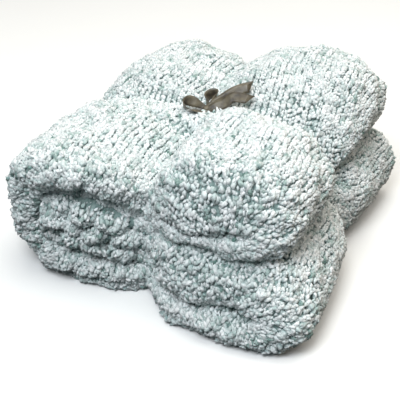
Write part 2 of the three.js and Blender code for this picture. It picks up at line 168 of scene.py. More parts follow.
def settled(x, y, z):
    """Height of a point of the straight bundle once the seams of the front have shifted."""
    seams = (0.0, MID_Z - PASS_PITCH, MID_Z, MID_Z + PASS_PITCH, HEIGHT)
    shifts = [np.interp(x, SEAM_SHIFT["x"], SEAM_SHIFT[name]) for name in ("low", "middle", "high")]
    shifts = [0.0*shifts[0], *shifts, 0.0*shifts[0]]
    shift = 0.0
    for low, high, a, b in zip(seams, seams[1:], shifts, shifts[1:]):
        share = (z - low)/(high - low)
        shift = shift + np.where((share >= 0) & (share < 1), a + (b - a)*share, 0.0)
    return z + shift*smooth((FRONT_Y + SEAM_FADE - y)/(SEAM_FADE - SEAM_FULL))


# The tie draws the bundle in along two crossing lines and leaves four lobes between them.
# Each row of a lobe table is front left and front right, then back left and back right.
# Right under the ribbon the soft cloth is cut into a narrow slit, except below the bow. Round the front right
# lobe, which stands up like a cushion, the slit widens into a crease, steep on the cushion's side.
TIE_FLAT, TIE_SPREAD, TIE_EASE = 5.0, 29.0, 1.6
SLIT, SLIT_HALF, SLIT_FROM_BOW = 8.0, 7.0, (12.0, 40.0)
CREASE_FRONT, CREASE_RIGHT, CREASE_SIDES = 36.0, 16.0, (30.0, 14.0)
CREASE_BLEND, CREASE_DRAW = 40.0, 0.5
SHOULDER_FROM, SHOULDER_SPREAD, SHOULDER_DIP, SHOULDER_DRAW = 20.0, 60.0, 0.12, 14.0
SHOULDER_ABOVE, SHOULDER_RISE = 0.45, 0.5
DIP_LEFT, DIP_RIGHT, DIP_ALONG_Y, DIP_CROSSING = 0.109, 0.18, 0.114, 0.03
DRAW_LEFT, DRAW_RIGHT, DRAW_FRONT, DRAW_BACK = 14.5, 33.5, 32.0, 23.5
DRAW_LESS_BELOW = 0.27
BASE_GROOVE, BASE_GROOVE_HALF = 5.5, 20.0
CROWN_X, CROWN_Y = 0.003, 0.081
LOBE_BLEND, FOOT_TOE = 173.0, 1.84
LOBES = dict(
    reach_x=((0.112, -0.007), (-0.016, 0.001)),
    reach_y=((0.05, 0.09), (0.007, -0.028)),
    rise=((-0.119, 0.062), (-0.029, 0.098)),
    foot=((-4.5, 19.0), (-4.8, 8.8)),
    corner=((0.158, 0.271), (0.113, 0.133)),
)


def tied(x, y, z):
    """A point of the straight bundle, moved to where the tie and the swell of the lobes put it."""
    X, Y, Z = x/(BUNDLE_WIDTH/2), y/(BUNDLE_DEPTH/2), z/HEIGHT
    dx, dy = np.abs(x - TIE_X), np.abs(y - TIE_Y)
    right = smooth(0.5 + (x - TIE_X)/LOBE_BLEND)
    back = smooth(0.5 + (y - TIE_Y)/LOBE_BLEND)

    def pinch(d):
        return 1.0/(1.0 + (np.clip(d - TIE_FLAT, 0.0, None)/TIE_SPREAD)**TIE_EASE)

    def groove(d):
        return np.clip((BASE_GROOVE_HALF - d)/(BASE_GROOVE_HALF - TIE_FLAT), 0.0, 1.0)

    def lobe(column):
        front, rear = LOBES[column]
        return ((1 - back)*((1 - right)*front[0] + right*front[1])
                + back*((1 - right)*rear[0] + right*rear[1]))

    def outward(side, power):
        return np.sign(side)*np.abs(side)**power

    along_x, along_y = pinch(dy), pinch(dx)
    dip = np.hypot(((1 - right)*DIP_LEFT + right*DIP_RIGHT)*along_x, DIP_ALONG_Y*along_y)
    near, far = SLIT_FROM_BOW
    cut = smooth((np.hypot(dx, dy) - near)/(far - near))
    ahead, aside = smooth((TIE_Y - y)/CREASE_BLEND), smooth((x - TIE_X)/CREASE_BLEND)
    crease_x = CREASE_RIGHT*np.exp(-dy/np.where(y > TIE_Y, *CREASE_SIDES))
    crease_y = CREASE_FRONT*np.exp(-dx/np.where(x < TIE_X, *CREASE_SIDES))
    slit_x = cut*((1 - aside)*SLIT*np.exp(-(dy/SLIT_HALF)**2) + aside*crease_x)
    slit_y = cut*((1 - ahead)*SLIT*np.exp(-(dx/SLIT_HALF)**2) + ahead*crease_y)
    beside = 1.0/(1.0 + (np.clip(dy - TIE_FLAT, 0.0, None)/SHOULDER_SPREAD)**2)
    shoulder = (beside*smooth((Z - SHOULDER_ABOVE)/SHOULDER_RISE)
                * smooth((x - SHOULDER_FROM)/(BUNDLE_WIDTH/2 - SHOULDER_FROM)))
    dip = dip + DIP_CROSSING*along_x*along_y + np.maximum(slit_x, slit_y)/HEIGHT + SHOULDER_DIP*shoulder
    crown = (1 - CROWN_X*X**4)*(1 - CROWN_Y*np.abs(Y)**3)
    lift = BASE_GROOVE*(groove(dx) + groove(dy))*(1 - Z)
    draw_x = np.where(x > 0, DRAW_RIGHT, DRAW_LEFT)*along_x*(1 - DRAW_LESS_BELOW*(1 - Z)) + CREASE_DRAW*slit_x
    draw_y = np.where(y > 0, DRAW_BACK, DRAW_FRONT)*along_y + CREASE_DRAW*slit_y
    foot = lobe("foot")*(1 - Z)*(1 + FOOT_TOE*(X*Y)**2)
    corner = lobe("corner")
    pulled_x = outward(X, 3)*draw_x + SHOULDER_DRAW*shoulder
    return (x*np.sqrt(1 - corner*Y*Y)*(1 + lobe("reach_x")) + outward(X, 1.5)*foot - pulled_x,
            y*np.sqrt(1 - corner*X*X)*(1 + lobe("reach_y")) + outward(Y, 1.5)*foot - outward(Y, 3)*draw_y,
            z*(1 - dip)*crown*(1 + lobe("rise")) + lift)


# Slow swells that a soft bundle keeps from handling, none under the tie and none upwards at its foot:
# length and push in millimetres, by axis
SWELL_FROM_TIE, SWELL_BLEND, FOOT_HEIGHT = 6.0, 30.0, 28.0
SWELLS = (
    dict(length=(150, 95, 120), phase=0.3, push=(0.8, 0.4, 1.4)),
    dict(length=(-80, 130, 90), phase=2.1, push=(0.4, 1.0, 1.2)),
    dict(length=(62, -75, 58), phase=4.0, push=(0.7, 0.8, 0.9)),
    dict(length=(-48, -52, 70), phase=1.2, push=(0.7, 0.7, 0.9)),
)
# The crumpled core that the wrap holds at the front left sinks behind its tip, where it is a little wider, and
# closes along its seam. Its lumps are (x, z, radius, push). Below it the layers of the wrap part in a crease.
CORE_DEPTH, CORE_FROM_TIE, CORE_BLEND = 34.0, 6.0, 20.0
CORE_SINK, CORE_TIP, CORE_WIDER, CORE_WIDER_FROM = 10.0, -118.0, 6.0, -92.0
CORE_CLOSE, CORE_CLOSE_FADE = 2.6, 8.0
CORE_LUMPS = ((-118, 98, 12, 8), (-94, 108, 11, 9), (-68, 111, 13, 22), (-42, 104, 13, 19),
              (-122, 76, 13, 18), (-100, 86, 12, 21), (-80, 86, 11, 16), (-57, 86, 13, 23),
              (-31, 82, 12, 17), (-108, 56, 13, 19), (-85, 63, 12, 18), (-61, 61, 13, 21), (-37, 58, 13, 17))
WRAP_CREASE, WRAP_CREASE_Z, WRAP_CREASE_HALF, WRAP_CREASE_FROM = 8.0, 14.0, 5.0, -112.0
WRAP_CREASE_IN, WRAP_CREASE_BLEND, WRAP_CREASE_TIE_BLEND = 10.0, 25.0, 15.0


def straight_point(s, y, q):
    """Place in the bundle before it is tied, and whether it is in a tucked pass."""
    x, z, nx, nz, thick, tucked, low = strip_path(s)
    out = q/STRIP*thick
    x, y, z = x + nx*out, y + 0.0*s, z + nz*out
    return x, front_fold(x, y, q, tucked, low), settled(x, y, z), tucked


def cloth_point(s, y, q):
    """A point of the cloth in millimetres: s along the strip, y and q in its section."""
    x, y, z, tucked = straight_point(s, y, q)
    p = np.stack(tied(x, y, z), axis=-1)
    core = tucked*smooth((FRONT_Y + CORE_DEPTH - y)/CORE_DEPTH)*smooth((TIE_X - CORE_FROM_TIE - x)/CORE_BLEND)
    lumps = 0.0
    for lx, lz, radius, push in CORE_LUMPS:
        near = np.clip(1 - ((x - lx)**2 + (z - lz)**2)/radius**2, 0.0, None)
        lumps = np.maximum(lumps, push*np.sqrt(near))
    p[..., 1] += core*(CORE_SINK*smooth((x - CORE_TIP)/CORE_BLEND) - lumps)
    p[..., 0] -= core*CORE_WIDER*smooth((CORE_WIDER_FROM - x)/CORE_BLEND)
    seam = MID_Z + np.interp(x, SEAM_SHIFT["x"], SEAM_SHIFT["middle"])
    p[..., 2] += core*np.sign(seam - z)*CORE_CLOSE*np.exp(-np.abs(seam - z)/CORE_CLOSE_FADE)
    wrapped = ~tucked*smooth((FRONT_Y + WRAP_CREASE_IN - y)/WRAP_CREASE_BLEND)
    wrapped = wrapped*smooth((TIE_X - WRAP_CREASE_IN - x)/WRAP_CREASE_TIE_BLEND)
    wrapped = wrapped*smooth((x - WRAP_CREASE_FROM)/WRAP_CREASE_BLEND)
    p[..., 1] += WRAP_CREASE*wrapped*np.exp(-((z - WRAP_CREASE_Z)/WRAP_CREASE_HALF)**2)
    slack = smooth((np.minimum(np.abs(x - TIE_X), np.abs(y - TIE_Y)) - SWELL_FROM_TIE)/SWELL_BLEND)
    moved = p.copy()
    for swell in SWELLS:
        wave = np.sin(2*math.pi*(p/np.array(swell["length"])).sum(-1) + swell["phase"])
        moved += (slack*wave)[..., None]*np.array(swell["push"])
    stand = smooth(p[..., 2]/FOOT_HEIGHT)
    moved[..., 2] = p[..., 2] + stand*(moved[..., 2] - p[..., 2])
    moved[..., :2] -= BOX_MIDDLE
    return moved


def mesh_object(name, vertices_mm, faces):
    """A piece from points in millimetres, linked into the scene."""
    mesh = bpy.data.meshes.new(name)
    mesh.from_pydata((np.asarray(vertices_mm)/1000.0).tolist(), [], faces)
    mesh.update()
    piece = bpy.data.objects.new(name, mesh)
    bpy.context.scene.collection.objects.link(piece)
    return piece


GROUND_CLEAR, CLOTH_STATIONS = 0.6, 150
outline = quarter_fold(PILE)
across = len(outline)
starts = np.cumsum((0.0,) + LENGTHS)
on_tie = np.concatenate([TIE_X - WRAP_X + TIP_REACH + BESIDE_TIE, starts[2] + FOLD_X - TIE_X + BESIDE_TIE,
                         starts[4] + TIE_X - WRAP_X + BESIDE_TIE, starts[6] + FOLD_X - TIE_X + BESIDE_TIE])
stations = np.sort(np.concatenate([np.linspace(0.0, STRIP_LENGTH, CLOTH_STATIONS), on_tie]))
cloth = cloth_point(stations[:, None], outline[None, :, 0], outline[None, :, 1]).reshape(-1, 3)
cloth[:, 2] = np.clip(cloth[:, 2], GROUND_CLEAR, None)
cloth_faces = []
for i in range(len(stations) - 1):
    a = i*across
    b = a + across
    cloth_faces += [(a + j, b + j, b + (j + 1) % across, a + (j + 1) % across) for j in range(across)]
half = across//2
for first, turned in ((0, False), ((len(stations) - 1)*across, True)):
    ends = [(0, 1, across - 1), (half - 1, half, half + 1)]
    ends += [(i, i + 1, across - i - 1, across - i) for i in range(1, half - 1)]
    cloth_faces += [tuple(first + k for k in (face[::-1] if turned else face)) for face in ends]
throw_cloth = mesh_object("throw_cloth", cloth, cloth_faces)

# The yarn map runs along the strip in u and across the throw in v, in metres of cloth
around = np.concatenate([[0.0], np.cumsum(np.linalg.norm(np.diff(outline, axis=0), axis=1))])
yarn_map = throw_cloth.data.uv_layers.new(name="yarn")
corner_vertex = np.empty(len(throw_cloth.data.loops), dtype=np.int32)
throw_cloth.data.loops.foreach_get("vertex_index", corner_vertex)
yarn = np.stack([stations[corner_vertex // across], around[corner_vertex % across]], axis=-1)/1000.0
yarn_map.data.foreach_set("uv", yarn.ravel())
throw_cloth.data.shade_smooth()


def linear(code):
    """sRGB hex to the linear colour that a shader takes."""
    parts = [int(code[i:i + 2], 16)/255 for i in (1, 3, 5)]
    return tuple(c/12.92 if c <= 0.04045 else ((c + 0.055)/1.055)**2.4 for c in parts) + (1.0,)


def add_node(tree, kind, inputs=None, **settings):
    """One node with its settings; an input takes a value or another node's output."""
    made = tree.nodes.new(kind)
    for name, value in settings.items():
        setattr(made, name, value)
    for key, value in (inputs or {}).items():
        if isinstance(value, bpy.types.NodeSocket):
            tree.links.new(value, made.inputs[key])
        else:
            made.inputs[key].default_value = value
    return made


def new_material(name):
    """An empty node material and its tree."""
    material = bpy.data.materials.new(name)
    material.use_nodes = True
    material.node_tree.nodes.clear()
    return material, material.node_tree


# Knitted polyester ground: matt grey-green yarn in ribs 6.4 mm apart, dark because the pile shades it.
# Its fuzz is drawn 2.4 mm coarse, so that it shows.
ROW_PITCH, GROUND_FUZZ = 6.4, 2.4
ground, tree = new_material("knitted polyester ground")
yarn_uv = add_node(tree, "ShaderNodeUVMap", uv_map="yarn")
ribs = add_node(tree, "ShaderNodeTexWave",
                {"Vector": yarn_uv.outputs["UV"], "Scale": 1000/ROW_PITCH/6.2832,
                 "Distortion": 1.2, "Detail": 2.0, "Detail Scale": 3.0},
                wave_type="BANDS", bands_direction="X")
fuzz = add_node(tree, "ShaderNodeTexNoise",
                {"Vector": yarn_uv.outputs["UV"], "Scale": 1000/GROUND_FUZZ, "Detail": 3.0})
shade = add_node(tree, "ShaderNodeValToRGB", {"Fac": fuzz.outputs["Fac"]})
shade.color_ramp.elements[0].position = 0.3
shade.color_ramp.elements[0].color = linear("#5f7876")
shade.color_ramp.elements[1].position = 0.75
shade.color_ramp.elements[1].color = linear("#9db1ae")
rib_bump = add_node(tree, "ShaderNodeBump",
                    {"Height": ribs.outputs["Fac"], "Strength": 0.8, "Distance": 0.002})
bump = add_node(tree, "ShaderNodeBump",
                {"Height": fuzz.outputs["Fac"], "Normal": rib_bump.outputs["Normal"],
                 "Strength": 0.6, "Distance": 0.001})
surface = add_node(tree, "ShaderNodeBsdfPrincipled",
                   {"Base Color": shade.outputs["Color"], "Roughness": 0.95,
                    "Normal": bump.outputs["Normal"], "Sheen Weight": 0.2})
add_node(tree, "ShaderNodeOutputMaterial", {"Surface": surface.outputs["BSDF"]})
throw_cloth.data.materials.append(ground)

# The pile: looped chenille yarn that stands out of the ground in rows across the throw, two plies to a row,
# each loop a small curled nub about 4 mm wide. The yarn is heathered, so white, mint and teal stretches
# follow each other along it.
NUB_STEP, NUB_JITTER, PLY_SPREAD = 2.6, 1.3, 2.0
ROW_SAMPLES, ROW_JITTER, MESSY_JITTER = 420, 0.4, 0.9
MESSY_BEHIND, MESSY_BLEND = 20.0, 30.0
NUB_FROM_END = 1.6
rng = np.random.default_rng(52)


def on_cloth(s, u):
    """Point of the ground at length s along the strip and u round its section."""
    return cloth_point(s, np.interp(u, around, outline[:, 0]), np.interp(u, around, outline[:, 1]))


# Rows keep their pitch over the cloth as it lies, counted from the middle of the top pass.
# On the front folds handling has messed them up.
columns = np.arange(0.0, around[-1] - 0.1, NUB_STEP)
messy = smooth((FRONT_Y + MESSY_BEHIND - np.interp(columns, around, outline[:, 0]))/MESSY_BLEND)
samples = np.linspace(0.0, STRIP_LENGTH, ROW_SAMPLES)
lines = on_cloth(samples[:, None], columns[None, :])
run_out = np.concatenate([np.zeros((1, len(columns))),
                          np.cumsum(np.linalg.norm(np.diff(lines, axis=0), axis=-1), axis=0)])
top_middle = np.argmin(np.abs(samples - (LENGTHS[0] + LENGTHS[1] + RUN/2)))
run_out -= run_out[top_middle]
grid_s, grid_u, grid_row, grid_mess = [], [], [], []
for j, u in enumerate(columns):
    rows = np.arange(math.ceil(run_out[0, j]/ROW_PITCH), math.floor(run_out[-1, j]/ROW_PITCH) + 1)
    for ply in (-0.5, 0.5):
        stray = rng.normal(0.0, ROW_JITTER + MESSY_JITTER*messy[j], len(rows))
        wanted = rows*ROW_PITCH + ply*PLY_SPREAD + stray
        grid_s.append(np.interp(wanted, run_out[:, j], samples))
        grid_u.append(u + ply*NUB_STEP*0.5 + rng.uniform(-NUB_JITTER, NUB_JITTER, len(rows)))
        grid_row.append(rows)
        grid_mess.append(np.full(len(rows), messy[j]))
grid_s = np.clip(np.concatenate(grid_s), NUB_FROM_END, STRIP_LENGTH - NUB_FROM_END)
grid_u = np.concatenate(grid_u) % around[-1]
grid_row = np.concatenate(grid_row)
grid_row -= grid_row.min()
grid_mess = np.concatenate(grid_mess)

# Dye along each row: stretches of about 6 mm, mostly white, some mint, a few teal. On the front folds, where
# the rows are messed up, the dye is made a little darker: painted shade.
DYE_LENGTH, DYE_ROW_SHIFT, DYE_MIX, DYE_FRONT_SHADE = 6.0, 0.37, (2.6, 1.2), 0.08
dye_table = rng.beta(*DYE_MIX, (grid_row.max() + 1, int(around[-1]/DYE_LENGTH) + 3))
dye_at = grid_u/DYE_LENGTH + (grid_row*DYE_ROW_SHIFT) % 1
dye = (dye_table[grid_row, dye_at.astype(int)]*(1 - dye_at % 1)
       + dye_table[grid_row, dye_at.astype(int) + 1]*(dye_at % 1)) - DYE_FRONT_SHADE*grid_mess

# Each nub has a root, a way along its row and a way out of the cloth, felt over a short step on both sides
FEEL = 1.5
root = on_cloth(grid_s, grid_u)
along = (on_cloth(grid_s, np.clip(grid_u + FEEL, 0, around[-1]))
         - on_cloth(grid_s, np.clip(grid_u - FEEL, 0, None)))
ahead = on_cloth(grid_s + FEEL, grid_u) - on_cloth(grid_s - FEEL, grid_u)
along /= np.linalg.norm(along, axis=1, keepdims=True) + 1e-9
out = np.cross(ahead, along)
out /= np.linalg.norm(out, axis=1, keepdims=True) + 1e-9
if out[np.argmax(root[:, 2]), 2] < 0:
    out = -out

# Handling leaves the nubs in clumps of 12 to 24 mm
CLUMP_LENGTHS = (12, 15, 18, 21, 24)
clump = np.zeros(len(root))
for length in CLUMP_LENGTHS:
    way = rng.normal(size=3)
    clump += 0.5*np.sin(2*math.pi*(root @ way)/np.linalg.norm(way)/length + rng.uniform(0, 2*math.pi))

# Beside the tie the nubs are fuller and close over it, and right under it there are none
BARE_HALF, FULLER_BESIDE = 0.8, 6.0
tie_x, tie_y = straight_point(grid_s, np.interp(grid_u, around, outline[:, 0]),
                              np.interp(grid_u, around, outline[:, 1]))[:2]
tie_x, tie_y = tie_x - TIE_X, tie_y - TIE_Y
from_tie = np.minimum(np.abs(tie_x), np.abs(tie_y))
beside = 1 - smooth((from_tie - BARE_HALF)/FULLER_BESIDE)
lean = np.zeros_like(root)
lean[:, 0] = np.where(np.abs(tie_x) < np.abs(tie_y), -np.sign(tie_x), 0.0)
lean[:, 1] = np.where(np.abs(tie_x) < np.abs(tie_y), 0.0, -np.sign(tie_y))

# A nub is made only where it can be seen: some straight way from it must be free for 45 mm.
# On the underside, which lies on the table, only every fourth one is kept.
FREE_WAY, FREE_AHEAD, OFF_CLOTH = 45.0, 5.0, 1.4
SLANT_OUT, SLANT_ASIDE, SLANTS = 0.55, 0.83, 8
UNDER_FACING, UNDER_HEIGHT, UNDER_KEPT = -0.75, 12.0, 0.25
ground_tree = BVHTree.FromPolygons([Vector(v) for v in cloth], cloth_faces)
underside = (out[:, 2] < UNDER_FACING) & (root[:, 2] < UNDER_HEIGHT)
left_out = underside & (rng.uniform(size=len(root)) > UNDER_KEPT)
shown = []
for k in np.flatnonzero((from_tie > BARE_HALF) & ~left_out):
    n = Vector(out[k])
    start = Vector(root[k]) + n*OFF_CLOTH
    if ground_tree.ray_cast(start, n, FREE_AHEAD)[0] is not None:
        continue
    side = Vector(along[k])
    over = n.cross(side)
    ways = [n] + [n*SLANT_OUT + side*(SLANT_ASIDE*math.cos(a)) + over*(SLANT_ASIDE*math.sin(a))
                  for a in np.arange(SLANTS)*2*math.pi/SLANTS]
    if any(ground_tree.ray_cast(start, way, FREE_WAY)[0] is None for way in ways):
        shown.append(k)
shown = np.array(shown)

# One loop of yarn is a lumpy bean. Five of them are mixed, so that neighbours seldom match, and each is tumbled
# a little and takes a stray bit of dye.
BEAN_KINDS, STRAY_DYE = 5, 0.2
TUMBLE = np.array((0.7, 0.6, 0.8))
nubs = bpy.data.node_groups.new("looped yarn nubs", "GeometryNodeTree")
for label, kind in (("Roots", "Geometry"), ("Nub length", "Float"), ("Nub width", "Float"),
                    ("Nub height", "Float"), ("Lumps", "Float"), ("Seed", "Int"), ("Yarn", "Material")):
    nubs.interface.new_socket(label, in_out="INPUT", socket_type="NodeSocket" + kind)
nubs.interface.new_socket("Pile", in_out="OUTPUT", socket_type="NodeSocketGeometry")
given = add_node(nubs, "NodeGroupInput").outputs
whole = add_node(nubs, "ShaderNodeCombineXYZ",
                 {0: given["Nub length"], 1: given["Nub width"], 2: given["Nub height"]})
half_size = add_node(nubs, "ShaderNodeVectorMath", {0: whole.outputs[0], 1: (0.5, 0.5, 0.5)},
                     operation="MULTIPLY")
beans = []
for kind in range(BEAN_KINDS):
    ball = add_node(nubs, "GeometryNodeMeshIcoSphere", {"Radius": 1.0, "Subdivisions": 1})
    place = add_node(nubs, "GeometryNodeInputPosition").outputs[0]
    lumps = add_node(nubs, "ShaderNodeTexNoise",
                     {"Vector": place, "W": 3.7*kind, "Scale": 0.9, "Detail": 0.0}, noise_dimensions="4D")
    lump = add_node(nubs, "ShaderNodeVectorMath", {0: lumps.outputs["Color"], 1: (0.5, 0.5, 0.5)},
                    operation="SUBTRACT")
    swell = add_node(nubs, "ShaderNodeVectorMath", {0: lump.outputs[0], "Scale": given["Lumps"]},
                     operation="SCALE")
    rough = add_node(nubs, "ShaderNodeVectorMath", {0: place, 1: swell.outputs[0]}, operation="ADD")
    shaped = add_node(nubs, "ShaderNodeVectorMath", {0: rough.outputs[0], 1: half_size.outputs[0]},
                      operation="MULTIPLY")
    height = add_node(nubs, "ShaderNodeSeparateXYZ", {0: place}).outputs[2]
    kept = add_node(nubs, "GeometryNodeStoreNamedAttribute",
                    {"Geometry": ball.outputs["Mesh"], "Name": "tip", "Value": height},
                    data_type="FLOAT", domain="POINT")
    bean = add_node(nubs, "GeometryNodeSetPosition",
                    {"Geometry": kept.outputs[0], "Position": shaped.outputs[0]})
    beans.append(add_node(nubs, "GeometryNodeGeometryToInstance", {0: bean.outputs[0]}).outputs[0])
kinds = add_node(nubs, "GeometryNodeJoinGeometry")
for bean in beans:
    nubs.links.new(bean, kinds.inputs[0])
way_out = add_node(nubs, "GeometryNodeInputNamedAttribute", {"Name": "way_out"}, data_type="FLOAT_VECTOR")
way_along = add_node(nubs, "GeometryNodeInputNamedAttribute", {"Name": "way_along"}, data_type="FLOAT_VECTOR")
grow = add_node(nubs, "GeometryNodeInputNamedAttribute", {"Name": "grow"}, data_type="FLOAT")
dyed = add_node(nubs, "GeometryNodeInputNamedAttribute", {"Name": "dye"}, data_type="FLOAT")
stand = add_node(nubs, "FunctionNodeAlignRotationToVector", {"Vector": way_out.outputs[0]}, axis="Z")
lie = add_node(nubs, "FunctionNodeAlignRotationToVector",
               {"Rotation": stand.outputs[0], "Vector": way_along.outputs[0]}, axis="X", pivot_axis="Z")
tumble = add_node(nubs, "FunctionNodeRandomValue",
                  {0: tuple(-TUMBLE), 1: tuple(TUMBLE), "Seed": given["Seed"]}, data_type="FLOAT_VECTOR")
tumbled = add_node(nubs, "FunctionNodeEulerToRotation", {0: tumble.outputs[0]})
turned = add_node(nubs, "FunctionNodeRotateRotation",
                  {"Rotation": lie.outputs[0], "Rotate By": tumbled.outputs[0]}, rotation_space="LOCAL")
pick = add_node(nubs, "FunctionNodeRandomValue", {4: 0, 5: BEAN_KINDS - 1, "Seed": given["Seed"]},
                data_type="INT")
loops = add_node(nubs, "GeometryNodeInstanceOnPoints",
                 {"Points": given["Roots"], "Instance": kinds.outputs[0], "Pick Instance": True,
                  "Instance Index": pick.outputs[2], "Rotation": turned.outputs[0], "Scale": grow.outputs[0]})
stray = add_node(nubs, "FunctionNodeRandomValue", {2: -STRAY_DYE, 3: STRAY_DYE, "Seed": given["Seed"]},
                 data_type="FLOAT")
heather = add_node(nubs, "ShaderNodeMath", {0: dyed.outputs[0], 1: stray.outputs[1]}, operation="ADD")
tinted = add_node(nubs, "GeometryNodeStoreNamedAttribute",
                  {"Geometry": loops.outputs[0], "Name": "tint", "Value": heather.outputs[0]},
                  data_type="FLOAT", domain="INSTANCE")
real = add_node(nubs, "GeometryNodeRealizeInstances", {0: tinted.outputs[0]})
round_off = add_node(nubs, "GeometryNodeSetShadeSmooth", {"Geometry": real.outputs[0]})
coated = add_node(nubs, "GeometryNodeSetMaterial",
                  {"Geometry": round_off.outputs[0], "Material": given["Yarn"]})
add_node(nubs, "NodeGroupOutput", {0: coated.outputs[0]})

# Chenille yarn: soft matt polyester fibre that scatters light, heathered white to teal, and painted darker
# teal-grey towards the root of each nub: painted shade for the gaps between nubs.
# Its fibre is drawn 1.8 mm coarse, so that it shows.
YARN_FIBRE = 1.8
chenille, tree = new_material("heathered chenille yarn")
tint = add_node(tree, "ShaderNodeAttribute", attribute_name="tint")
tip = add_node(tree, "ShaderNodeAttribute", attribute_name="tip")
object_space = add_node(tree, "ShaderNodeTexCoord").outputs["Object"]
fibre = add_node(tree, "ShaderNodeTexNoise", {"Vector": object_space, "Scale": 1000/YARN_FIBRE, "Detail": 3.0})
spread = add_node(tree, "ShaderNodeMath", {0: fibre.outputs["Fac"], 1: 0.5, 2: -0.25},
                  operation="MULTIPLY_ADD")
dye_mix = add_node(tree, "ShaderNodeMath", {0: tint.outputs["Fac"], 1: spread.outputs[0]}, operation="ADD")
yarn_colour = add_node(tree, "ShaderNodeValToRGB", {"Fac": dye_mix.outputs[0]})
ramp = yarn_colour.color_ramp
ramp.elements[0].position = 0.02
ramp.elements[0].color = linear("#5c7c75")
ramp.elements[1].position = 0.9
ramp.elements[1].color = linear("#f5f9fa")
for position, code in ((0.16, "#9cb2ad"), (0.38, "#c8d6d5"), (0.62, "#e4ecec")):
    ramp.elements.new(position).color = linear(code)
# Painted shade: the lower part of each nub is mixed towards dark teal-grey
root_shade_share = add_node(tree, "ShaderNodeMapRange",
                {"Value": tip.outputs["Fac"], "From Min": -0.35, "From Max": 0.55,
                 "To Min": 0.8, "To Max": 0.0})
colour_with_root_shade = add_node(tree, "ShaderNodeMix",
                  {"Factor": root_shade_share.outputs[0], 6: yarn_colour.outputs["Color"], 7: linear("#779392")},
                  data_type="RGBA")
bump = add_node(tree, "ShaderNodeBump",
                {"Height": fibre.outputs["Fac"], "Strength": 0.8, "Distance": 0.0012})
surface = add_node(tree, "ShaderNodeBsdfPrincipled",
                   {"Base Color": colour_with_root_shade.outputs[2], "Roughness": 0.9, "Subsurface Weight": 0.5,
                    "Subsurface Scale": 0.0025, "Subsurface Radius": (1.0, 1.0, 1.0),
                    "Normal": bump.outputs["Normal"], "Sheen Weight": 0.2, "Sheen Roughness": 0.5})
add_node(tree, "ShaderNodeOutputMaterial", {"Surface": surface.outputs["BSDF"]})

# The pile is grown in eight pieces, one for each lobe above and below the middle. A nub's rise over the ground
# and its size vary with chance and with its clump, most where the rows are messed up.
NUB = {"Nub length": 0.0072, "Nub width": 0.0038, "Nub height": 0.0044,
       "Lumps": 1.7, "Seed": 7, "Yarn": chenille}
NUB_RISE, RISE_SPREAD, RISE_CLUMP, RISE_BESIDE, LEAN_BESIDE = 1.0, 1.0, 0.8, 1.9, 2.4
NUB_SIZE, SIZE_SPREAD, SIZE_CLUMP, SIZE_BESIDE, SIZE_UNDER = 1.08, 0.32, 0.12, 0.25, 1.5
EVEN_SHARE, LOWEST_SEAT, UPPER_FROM = 0.5, 1.6, 95.0
middle_x, middle_y = TIE_X - BOX_MIDDLE[0], TIE_Y - BOX_MIDDLE[1]
for label, on_right, on_back, upper in (
        ("front_left_low", False, False, False), ("front_left_high", False, False, True),
        ("front_right_low", True, False, False), ("front_right_high", True, False, True),
        ("back_left_low", False, True, False), ("back_left_high", False, True, True),
        ("back_right_low", True, True, False), ("back_right_high", True, True, True)):
    here = shown[((root[shown, 0] > middle_x) == on_right) & ((root[shown, 1] > middle_y) == on_back)
                 & ((root[shown, 2] > UPPER_FROM) == upper)]
    uneven = EVEN_SHARE + (1 - EVEN_SHARE)*grid_mess[here]
    chance = rng.uniform(-RISE_SPREAD, RISE_SPREAD, len(here))
    rise = NUB_RISE + uneven*(chance + RISE_CLUMP*clump[here]) + RISE_BESIDE*beside[here]
    seat = root[here] + out[here]*rise[:, None] + lean[here]*(LEAN_BESIDE*beside[here])[:, None]
    seat[:, 2] = np.clip(seat[:, 2], LOWEST_SEAT, None)
    size = NUB_SIZE + uneven*rng.uniform(-SIZE_SPREAD, SIZE_SPREAD, len(here))
    size *= 1 + SIZE_BESIDE*beside[here] + SIZE_CLUMP*clump[here]
    size *= np.where(underside[here], SIZE_UNDER, 1.0)
    roots = mesh_object("roots_" + label, seat, [])
    grown_by = dict(way_out=out[here], way_along=along[here], grow=size, dye=dye[here])
    for name, values in grown_by.items():
        is_way = values.ndim == 2
        layer = roots.data.attributes.new(name, "FLOAT_VECTOR" if is_way else "FLOAT", "POINT")
        layer.data.foreach_set("vector" if is_way else "value", np.ascontiguousarray(values).ravel())
    grown = roots.modifiers.new("loops", "NODES")
    grown.node_group = nubs
    for socket in nubs.interface.items_tree:
        if socket.name in NUB:
            grown[socket.identifier] = NUB[socket.name]
    seen = bpy.context.evaluated_depsgraph_get()
    mesh = bpy.data.meshes.new_from_object(roots.evaluated_get(seen))
    bpy.data.objects.remove(roots)
    for name in grown_by:
        if name in mesh.attributes:
            mesh.attributes.remove(mesh.attributes[name])
    where = np.empty(len(mesh.vertices)*3, dtype=np.float32)
    mesh.vertices.foreach_get("co", where)
    where[2::3] = np.clip(where[2::3], 0.0, None)
    mesh.vertices.foreach_set("co", where)
    mesh.name = "pile_" + label
    piece = bpy.data.objects.new("pile_" + label, mesh)
    bpy.context.scene.collection.objects.link(piece)
    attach(piece, "root")

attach(throw_cloth, "root")
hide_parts("throw")

# The tie: one length of taupe satin ribbon, 12 mm wide, passed twice round the bundle and knotted into a bow.
# In the creases it is drawn together into pleats a third as wide and sinks into the pile, and only the bow lies
# open.
RIBBON_WIDTH, RIBBON_GATHERED, RIBBON_THICK, RIBBON_CLEAR = 12.0, 4.0, 0.6, -1.8


def corner(ca, cz, radius, first, last, steps):
    """Rows of an arc of the loop's path: place along it and height, and the way out there."""
    angles = np.radians(np.linspace(first, last, steps + 1))
    return [(ca + radius*math.cos(a), cz + radius*math.sin(a), math.cos(a), math.sin(a)) for a in angles]


def level(first, last, z, nz, steps):
    """Rows of a flat run of the loop's path."""
    return [(a, z, 0.0, nz) for a in np.linspace(first, last, steps + 1)[1:-1]]


